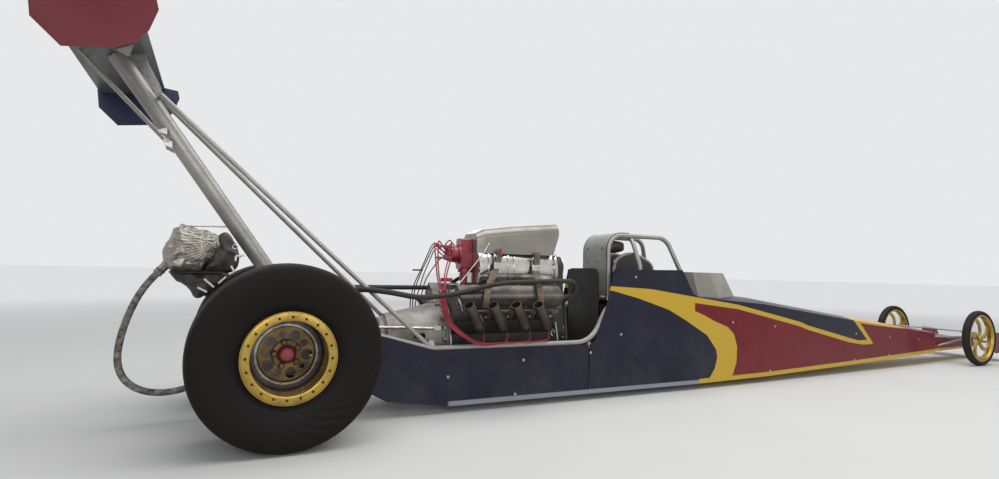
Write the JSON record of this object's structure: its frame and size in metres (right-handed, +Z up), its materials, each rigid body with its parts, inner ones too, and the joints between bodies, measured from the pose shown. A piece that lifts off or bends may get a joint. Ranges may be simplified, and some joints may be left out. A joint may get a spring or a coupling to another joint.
{
  "type": "drag racing car",
  "caption": "Rear-engined drag racing car: long wedge nose, open blown V engine behind the driver's cage, wide rear slicks, wire-thin front wheels and a high rear wing.",
  "frame": {"origin": "on the track, midway along the car and on its centre plane", "axes": "+X forward to the nose, +Y to the driver's left, +Z up"},
  "size_m": [8.925, 1.58, 2.1499],
  "materials": {
    "frame_grey": "satin",
    "bare_sheet": "satin",
    "dark_sheet": "satin",
    "navy": "gloss",
    "burgundy": "gloss",
    "pad": "padded",
    "hat_grey": "satin",
    "grey_screen": "satin",
    "bare_steel": "satin",
    "tyre": "matte",
    "gold": "gloss",
    "cast_metal": "cast",
    "polished": "polished",
    "red_plastic": "gloss",
    "belt": "matte",
    "exhaust": "heat stained",
    "dark_wing": "satin",
    "silver_cloth": "crinkled",
    "tether": "woven"
  },
  "bodies": {
    "chassis": {"lower_rails": "frame_grey", "upper_rails": "frame_grey", "frame_braces": "frame_grey", "cross_tubes": "frame_grey", "main_hoop": "frame_grey", "cage_bars": "frame_grey", "cage_shroud": "frame_grey", "bulkhead": "bare_sheet", "seat": "dark_sheet", "head_pad": "pad", "floor_pan": "bare_sheet", "rear_side_panels": "navy", "cockpit_sides": "navy", "nose_body": "burgundy", "nose_cone": "burgundy", "windscreen": "grey_screen", "front_wing": "burgundy", "front_wing_plates": "burgundy", "front_axle": "frame_grey", "brake_calipers": "dark_sheet", "axle_housing": "cast_metal", "transmission": "cast_metal", "bellhousing": "cast_metal", "motor_plates": "bare_sheet", "engine_block": "cast_metal", "oil_pan": "cast_metal", "cylinder_heads": "cast_metal", "valve_covers": "cast_metal", "intake_manifold": "cast_metal", "blower_case": "polished", "injector_hat": "hat_grey", "throttle_plate": "dark_sheet", "magneto": "red_plastic", "drive_pulleys": "polished", "drive_belt": "belt", "exhaust_pipes": "exhaust", "rear_wing": "dark_wing", "wing_end_plates": "burgundy", "wing_post": "frame_grey", "wing_braces": "frame_grey", "parachute_packs": "silver_cloth", "parachute_tray": "dark_sheet", "parachute_tether": "tether", "steering_column": "bare_steel"},
    "rear_axle": {"rear_tyre_right": "tyre", "rear_tyre_left": "tyre", "rear_wheels": "gold", "hub_caps": "red_plastic", "axle_shafts": "bare_steel"},
    "knuckle_right": {"knuckle_right": "bare_steel"},
    "knuckle_left": {"knuckle_left": "bare_steel"},
    "tie_rod": {"tie_rod": "bare_steel"},
    "front_wheel_right": {"front_wheel_right": "gold", "front_tyre_right": "tyre"},
    "front_wheel_left": {"front_wheel_left": "gold", "front_tyre_left": "tyre"},
    "steering_yoke": {"steering_yoke": "dark_sheet"}
  },
  "joints": [
    {"name": "rear_axle_spin", "type": "hinge", "parent": "chassis", "child": "rear_axle", "pos_m": [-3.3875, 0, 0.453], "axis": [0, 1, 0], "continuous": true},
    {"name": "steer_left", "type": "hinge", "parent": "chassis", "child": "knuckle_left", "pos_m": [3.6125, 0.345, 0.29], "axis": [0, 0, 1], "range_deg": [-15, 15]},
    {"name": "steer_right", "type": "hinge", "parent": "chassis", "child": "knuckle_right", "pos_m": [3.6125, -0.345, 0.29], "axis": [0, 0, 1], "range_deg": [-15, 15]},
    {"name": "tie_rod_pivot", "type": "hinge", "parent": "knuckle_left", "child": "tie_rod", "pos_m": [3.4825, 0.345, 0.358], "axis": [0, 0, 1], "range_deg": [-15, 15]},
    {"name": "yoke_turn", "type": "hinge", "parent": "chassis", "child": "steering_yoke", "pos_m": [-0.5975, 0, 0.64], "axis": [-0.9063, 0, 0.4226], "range_deg": [-75, 75]},
    {"name": "front_left_spin", "type": "hinge", "parent": "knuckle_left", "child": "front_wheel_left", "pos_m": [3.6125, 0.43, 0.29], "axis": [0, 1, 0], "continuous": true},
    {"name": "front_right_spin", "type": "hinge", "parent": "knuckle_right", "child": "front_wheel_right", "pos_m": [3.6125, -0.43, 0.29], "axis": [0, 1, 0], "continuous": true}
  ],
  "couplings": [
    {"joint": "steer_right", "follows": "steer_left", "ratio": 1},
    {"joint": "tie_rod_pivot", "follows": "steer_left", "ratio": -1},
    {"joint": "yoke_turn", "follows": "steer_left", "ratio": 5}
  ]
}
